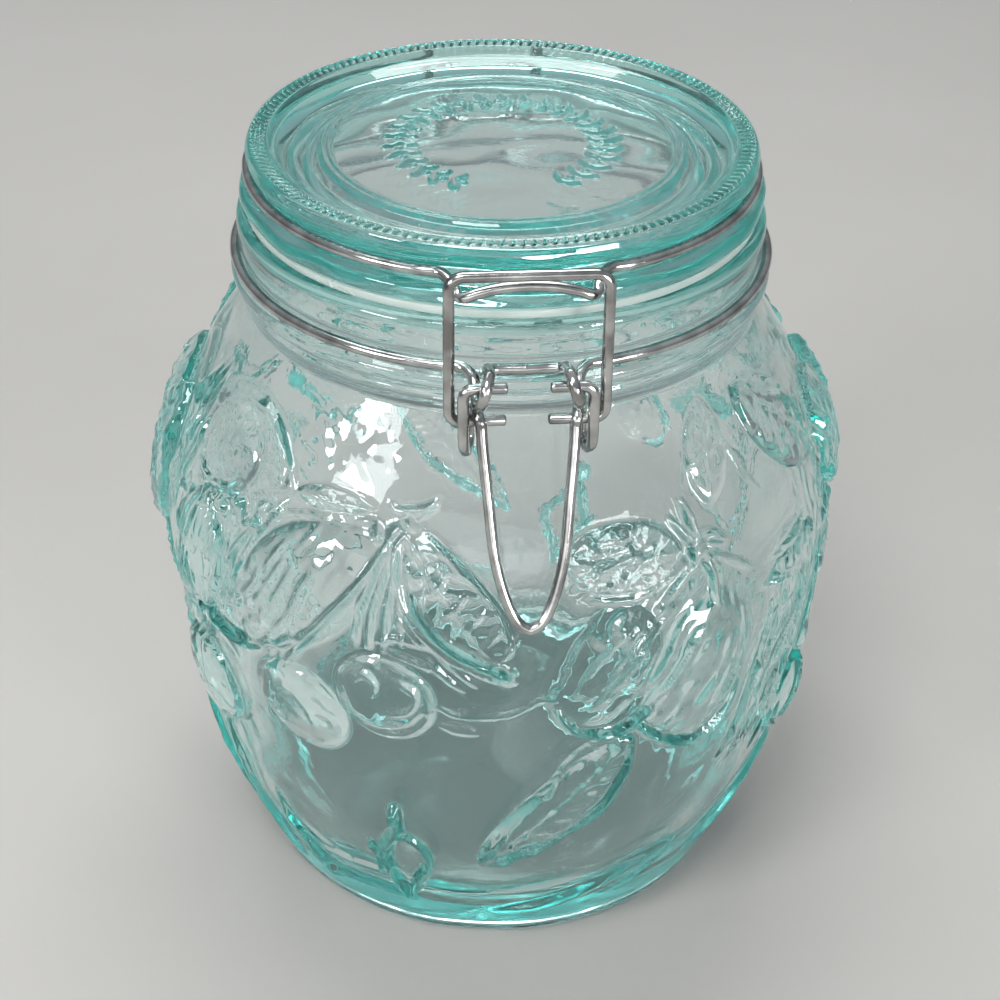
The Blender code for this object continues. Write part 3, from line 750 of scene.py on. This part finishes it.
def link_path():
    """A rectangular loop: a bar in front of the catch, two legs, and stubs bent inward."""
    bar_y, bar_z = LINK_BAR
    stub_y, stub_z = LINK_PIVOT
    bend, tight, x = 2.6, 2.0, LINK_HALF_WIDTH
    lean = (bar_y - stub_y) / (bar_z - stub_z)
    turns = [math.radians(d) for d in range(0, 91, 10)]
    corner = [Vector((x - bend * (1.0 - math.sin(a)), bar_y - lean * bend * (1.0 - math.cos(a)),
                      bar_z - bend * (1.0 - math.cos(a)))) for a in turns]
    foot = [Vector((x - tight * (1.0 - math.cos(a)), stub_y + lean * tight * (1.0 - math.sin(a)),
                    stub_z + tight * (1.0 - math.sin(a)))) for a in turns]
    right = [Vector((0.0, bar_y, bar_z))] + corner + foot + [Vector((4.2, stub_y, stub_z))]
    return list(reversed(flipped(right, 0))) + right[1:]


def lever_path():
    """The lever: a pivot stub, a hook around the link's stub, and one leg of the V handle."""
    y, z = LEVER_PIVOT
    strand_x, back_x, leg_x = 11.6, 10.0, 8.4
    link_y, link_z = LINK_PIVOT
    stub = vectors((4.2, y, z), (9.6, y, z), (11.0, y, z - 0.5), (strand_x, y - 0.1, z - 2.0))
    strand = vectors((strand_x, y - 0.5, z - 6.0), (strand_x, link_y - HOOK_RADIUS, link_z - 2.2))
    bottom = arc_yz(strand_x - 0.1, back_x + 0.1, (link_y, link_z - 3.4), HOOK_RADIUS, 190.0, 350.0, 6)
    hook = arc_yz(back_x, leg_x, LINK_PIVOT, HOOK_RADIUS, 0.0, 180.0, 8)
    start = Vector((leg_x, link_y - HOOK_RADIUS, link_z))
    tip = Vector((0.0, *LEVER_TIP))
    handle = [start.lerp(tip, t) for t in (0.1, 0.34, 0.6, 0.77, 0.89, 0.965)]
    for point, half_width in zip(handle, (8.2, 7.4, 6.5, 5.2, 3.7, 2.1)):
        point.x = half_width
    right = smooth_path(stub + strand + bottom + hook + handle + [tip], TUBE_STEP)
    return right + list(reversed(flipped(right, 0)))[1:]


def tube(name, path, closed):
    """A round wire of even sides along a path, with domed ends when it is open.

    The attribute `wire_place` holds each point's place on the wire, so that drawing marks in the
    steel follow it: the two parts of the direction around the wire, and the distance along it.
    """
    path = np.array(path)
    ahead = np.roll(path, -1, axis=0) - np.roll(path, 1, axis=0)
    if not closed:
        ahead[0] = path[1] - path[0]
        ahead[-1] = path[-1] - path[-2]
    ahead /= np.linalg.norm(ahead, axis=1)[:, None]
    sides = carried_side(ahead, closed)
    ups = np.cross(ahead, sides)
    along = np.concatenate([[0.0], np.cumsum(np.linalg.norm(np.diff(path, axis=0), axis=1))])
    places = [(centre, side, up, 1.0, distance)
              for centre, side, up, distance in zip(path, sides, ups, along)]
    if not closed:
        dome = [math.radians(d) for d in (25.0, 50.0, 72.0)]
        first, last = places[0], places[-1]
        head = [(first[0] - ahead[0] * WIRE_RADIUS * 0.5 * math.sin(a), first[1], first[2],
                 math.cos(a), first[4]) for a in reversed(dome)]
        tail = [(last[0] + ahead[-1] * WIRE_RADIUS * 0.5 * math.sin(a), last[1], last[2],
                 math.cos(a), last[4]) for a in dome]
        places = head + places + tail
    turn = np.arange(TUBE_SIDES) * (2 * np.pi / TUBE_SIDES)
    points, marks = [], []
    for centre, side, up, size, distance in places:
        out = np.cos(turn)[:, None] * side + np.sin(turn)[:, None] * up
        points.append(centre + out * WIRE_RADIUS * size)
        marks.append(np.stack([np.cos(turn), np.sin(turn), np.full(TUBE_SIDES, distance)], axis=1))
    count = len(points)
    faces = []
    for i in range(count if closed else count - 1):
        faces.extend(bridge(i * TUBE_SIDES, TUBE_SIDES, (i + 1) % count * TUBE_SIDES, TUBE_SIDES))
    faces = [face[::-1] for face in faces]
    if not closed:
        faces.append(list(range(TUBE_SIDES))[::-1])
        faces.append(list(range((count - 1) * TUBE_SIDES, count * TUBE_SIDES)))
    mesh = bpy.data.meshes.new(name)
    mesh.from_pydata((np.concatenate(points) * MM).tolist(), [], faces)
    mesh.shade_smooth()
    attribute = mesh.attributes.new("wire_place", "FLOAT_VECTOR", "POINT")
    attribute.data.foreach_set("vector", np.concatenate(marks).astype(np.float32).ravel())
    return mesh


def carried_side(ahead, closed):
    """A side direction carried along the wire without twist, its leftover twist spread if closed."""
    start = np.cross(ahead[0], (0.0, 0.0, 1.0))
    side = start / np.linalg.norm(start)
    sides = [side]
    for direction in ahead[1:]:
        side = side - direction * (side @ direction)
        side = side / np.linalg.norm(side)
        sides.append(side)
    sides = np.array(sides)
    if closed:
        last = sides[-1] - ahead[0] * (sides[-1] @ ahead[0])
        twist = math.atan2(np.cross(last, sides[0]) @ ahead[0], last @ sides[0])
        angles = np.linspace(0.0, twist, len(sides))
        ups = np.cross(ahead, sides)
        sides = np.cos(angles)[:, None] * sides + np.sin(angles)[:, None] * ups
    return sides


# Materials

def principled(name, **values):
    """A node material whose shader sockets are set by name, with _ for a space."""
    mat = bpy.data.materials.new(name)
    mat.use_nodes = True
    shader = mat.node_tree.nodes["Principled BSDF"]
    for key, value in values.items():
        shader.inputs[key.replace("_", " ")].default_value = value
    return mat, mat.node_tree, shader


def noise(tree, vector, scale, detail=2.0, roughness=0.5):
    """A cloudy value over a vector."""
    node = tree.nodes.new("ShaderNodeTexNoise")
    node.inputs["Scale"].default_value = scale
    node.inputs["Detail"].default_value = detail
    node.inputs["Roughness"].default_value = roughness
    tree.links.new(vector, node.inputs["Vector"])
    return node.outputs["Fac"]


def ranged(tree, value, low, high):
    """A noise value's usual range stretched between two numbers."""
    node = tree.nodes.new("ShaderNodeMapRange")
    node.inputs["From Min"].default_value, node.inputs["From Max"].default_value = NOISE_RANGE
    node.inputs["To Min"].default_value = low
    node.inputs["To Max"].default_value = high
    tree.links.new(value, node.inputs["Value"])
    return node.outputs["Result"]


def ramped(tree, value, target, low, high, *between):
    """Colours a socket by a value, with stops given as position, red, green and blue."""
    node = tree.nodes.new("ShaderNodeValToRGB")
    stops = node.color_ramp.elements
    for stop, (position, *colour) in zip(stops, (low, high)):
        stop.position = position
        stop.color = (*colour, 1.0)
    for position, *colour in between:
        stops.new(position).color = (*colour, 1.0)
    tree.links.new(value, node.inputs["Fac"])
    tree.links.new(node.outputs["Color"], target)


def place_of(tree, output="Object"):
    """The place of the shaded point, in its piece's own frame unless another output is asked for."""
    return tree.nodes.new("ShaderNodeTexCoord").outputs[output]


def bumped(tree, shader, layers):
    """Chains bump nodes, given as (height, strength, distance in mm), into the shader's normal."""
    normal = None
    for height, strength, distance in layers:
        node = tree.nodes.new("ShaderNodeBump")
        node.inputs["Strength"].default_value = strength
        node.inputs["Distance"].default_value = distance * MM
        tree.links.new(height, node.inputs["Height"])
        if normal:
            tree.links.new(normal, node.inputs["Normal"])
        normal = node.outputs["Normal"]
    tree.links.new(normal, shader.inputs["Normal"])


def glass_material(name, density, peel):
    """Pressed aqua glass: clear where it is thin and teal where light runs a long way in it; beside the
    volume's own teal, teal is painted on its surface where light runs far inside, and near black painted
    shade in the lid's notches.

    peel is the strength of the fine unevenness of its skin.
    """
    mat, tree, shader = principled(name, Transmission_Weight=1.0, IOR=1.5)
    place = place_of(tree)
    # The painted light: teal standing in for light running far in the glass, up to near black painted
    # shade
    mark = tree.nodes.new("ShaderNodeAttribute")
    mark.attribute_name = "painted_light_tint"
    ramped(tree, mark.outputs["Fac"], shader.inputs["Base Color"], (0.0, 1.0, 1.0, 1.0),
           (PAINTED_SHADE_STOP, 0.0005, 0.006, 0.005), (PAINTED_TEAL_STOP, 0.18, 0.76, 0.70))
    tree.links.new(ranged(tree, noise(tree, place, 160.0, 3.0), 0.0, 0.025), shader.inputs["Roughness"])
    bumped(tree, shader, [(noise(tree, place, 260.0, 2.0), peel, 0.25),
                          (noise(tree, place, 1500.0, 2.0), 0.12, 0.03)])
    volume = tree.nodes.new("ShaderNodeVolumeAbsorption")
    volume.inputs["Color"].default_value = (0.06, 0.85, 0.81, 1.0)
    volume.inputs["Density"].default_value = density
    tree.links.new(volume.outputs["Volume"], tree.nodes["Material Output"].inputs["Volume"])
    return mat


def steel_material():
    """Drawn bright steel wire: fine streaks along it, and slight dulling in patches."""
    mat, tree, shader = principled("bright_steel", Metallic=1.0)
    mark = tree.nodes.new("ShaderNodeAttribute")
    mark.attribute_name = "wire_place"
    squeeze = tree.nodes.new("ShaderNodeMapping")
    squeeze.inputs["Scale"].default_value = (1.0, 1.0, 0.03)
    tree.links.new(mark.outputs["Vector"], squeeze.inputs["Vector"])
    streak = noise(tree, squeeze.outputs["Vector"], 14.0, 4.0, 0.7)
    patch = noise(tree, place_of(tree), 180.0, 3.0)
    ramped(tree, patch, shader.inputs["Base Color"], (0.3, 0.24, 0.235, 0.23), (0.62, 0.56, 0.56, 0.55))
    tree.links.new(ranged(tree, streak, 0.06, 0.20), shader.inputs["Roughness"])
    bumped(tree, shader, [(streak, 0.25, 0.05)])
    return mat


def seal_material():
    """A soft, cloudy, nearly clear seal."""
    mat, tree, shader = principled("clear_seal", Transmission_Weight=0.6, IOR=1.42)
    place = place_of(tree)
    cloud = noise(tree, place, 90.0, 3.0)
    ramped(tree, cloud, shader.inputs["Base Color"], (0.0, 0.72, 0.80, 0.76), (1.0, 0.88, 0.92, 0.89))
    tree.links.new(ranged(tree, cloud, 0.25, 0.45), shader.inputs["Roughness"])
    bumped(tree, shader, [(noise(tree, place, 700.0, 2.0), 0.2, 0.05)])
    return mat


def floor_material():
    """A plain pale matt floor, very slightly clouded."""
    mat, tree, shader = principled("pale_floor", Roughness=0.75)
    ramped(tree, noise(tree, place_of(tree), 8.0, 4.0), shader.inputs["Base Color"],
           (0.0, 0.33, 0.32, 0.305), (1.0, 0.37, 0.36, 0.345))
    return mat


# Putting it together

def add_piece(name, mesh, node, body, mat):
    """A piece that stands for a CAD node, rides on its body and has its finish."""
    mesh.materials.append(mat)
    piece = bpy.data.objects.new(name, mesh)
    bpy.context.scene.collection.objects.link(piece)
    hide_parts(node)
    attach(piece, body)
    return piece


def build_pieces():
    """Every piece of the canister, with its material."""
    jar_glass = glass_material("aqua_glass", 15.0, 0.14)
    lid_glass = glass_material("aqua_lid_glass", 17.0, 0.04)
    steel = steel_material()
    add_piece("jar_body_glass", make_jar(), "jar_body", "jar", jar_glass)
    add_piece("lid_glass", make_lid(), "lid", "lid", lid_glass)
    add_piece("gasket_ring", make_gasket(), "gasket", "lid", seal_material())
    for name, path, closed, node, body in (
            ("neck_wire_steel", neck_wire_path(), True, "neck_wire", "jar"),
            ("lid_wire_steel", lid_wire_path(), False, "lid_wire", "lid"),
            ("latch_lever_steel", lever_path(), False, "latch_lever", "lever"),
            ("latch_link_steel", link_path(), False, "latch_link", "link")):
        add_piece(name, tube(name, path, closed), node, body, steel)


def build_stage():
    """A plain pale floor, soft lights and an even sky."""
    mesh = bpy.data.meshes.new("floor")
    reach, drop = 4.0, -0.0003
    mesh.from_pydata([(-reach, -reach, drop), (reach, -reach, drop), (reach, reach, drop),
                      (-reach, reach, drop)], [], [(0, 1, 2, 3)])
    mesh.materials.append(floor_material())
    floor = bpy.data.objects.new("floor", mesh)
    bpy.context.scene.collection.objects.link(floor)
    build_sky()
    add_softbox("window", (-0.80, -0.56, 0.52), (0.26, 0.18), 4.6)
    add_softbox("side_fill", (1.24, -1.76, 0.40), (0.68, 0.60), 3.8, 60.0)
    add_softbox("front_low", (-0.50, -2.30, 0.52), (2.4, 0.9), 3.2, 90.0)
    add_softbox("front_top", (-0.30, -0.62, 1.1), (0.40, 0.40), 8.0)
    add_softbox("overhead", (-0.05, 0.42, 1.3), (1.0, 0.45), 12.0)


def build_sky():
    """A dim even room, a little brighter overhead."""
    world = bpy.data.worlds.new("studio")
    world.use_nodes = True
    tree = world.node_tree
    split = tree.nodes.new("ShaderNodeSeparateXYZ")
    tree.links.new(place_of(tree, "Generated"), split.inputs["Vector"])
    ramped(tree, split.outputs["Z"], tree.nodes["Background"].inputs["Color"], SKY_LOW, SKY_HIGH)
    bpy.context.scene.world = world


def set_light_paths():
    """Light runs far inside thick glass by total reflection, so its paths may be long."""
    cycles = bpy.context.scene.cycles
    cycles.max_bounces = 32
    cycles.transmission_bounces = 32
    cycles.glossy_bounces = 16
    bpy.context.scene.view_settings.view_transform = "Standard"


def add_softbox(name, place, size, power, spread=HALF_TURN):
    """A rectangular soft light that faces the middle of the jar; spread is its cone in degrees."""
    light = bpy.data.lights.new(name, "AREA")
    light.shape = "RECTANGLE"
    light.size, light.size_y = size
    light.energy = power
    light.spread = math.radians(spread)
    lamp = bpy.data.objects.new(name, light)
    lamp.visible_camera = False
    lamp.location = place
    lamp.rotation_mode = "QUATERNION"
    lamp.rotation_quaternion = (Vector((0.0, 0.0, 0.08)) - Vector(place)).to_track_quat("-Z", "Y")
    bpy.context.scene.collection.objects.link(lamp)


def build_camera():
    """The camera looks down at the jar from in front, slightly turned and rolled."""
    camera = bpy.data.objects.new("camera", bpy.data.cameras.new("camera"))
    camera.data.lens = CAMERA_LENS
    camera.data.sensor_width = 36.0
    camera.data.clip_start, camera.data.clip_end = 0.01, 20.0
    place = Matrix.Translation(Vector((CAMERA_SIDE, -CAMERA_DISTANCE, CAMERA_HEIGHT)) * MM)
    turn = Matrix.Rotation(math.radians(CAMERA_TURN), 4, "Z")
    pitch = Matrix.Rotation(math.radians(90.0 - CAMERA_PITCH), 4, "X")
    roll = Matrix.Rotation(math.radians(CAMERA_ROLL), 4, "Z")
    camera.matrix_world = turn @ place @ pitch @ roll
    bpy.context.scene.collection.objects.link(camera)
    bpy.context.scene.camera = camera


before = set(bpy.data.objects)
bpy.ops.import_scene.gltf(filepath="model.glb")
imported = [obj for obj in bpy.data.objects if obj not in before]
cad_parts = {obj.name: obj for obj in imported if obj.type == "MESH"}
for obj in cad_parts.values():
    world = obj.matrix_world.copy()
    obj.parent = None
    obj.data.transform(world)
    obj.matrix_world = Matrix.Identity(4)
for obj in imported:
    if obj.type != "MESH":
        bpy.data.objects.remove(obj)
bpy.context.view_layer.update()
build_camera()
build_pieces()
build_stage()
set_light_paths()
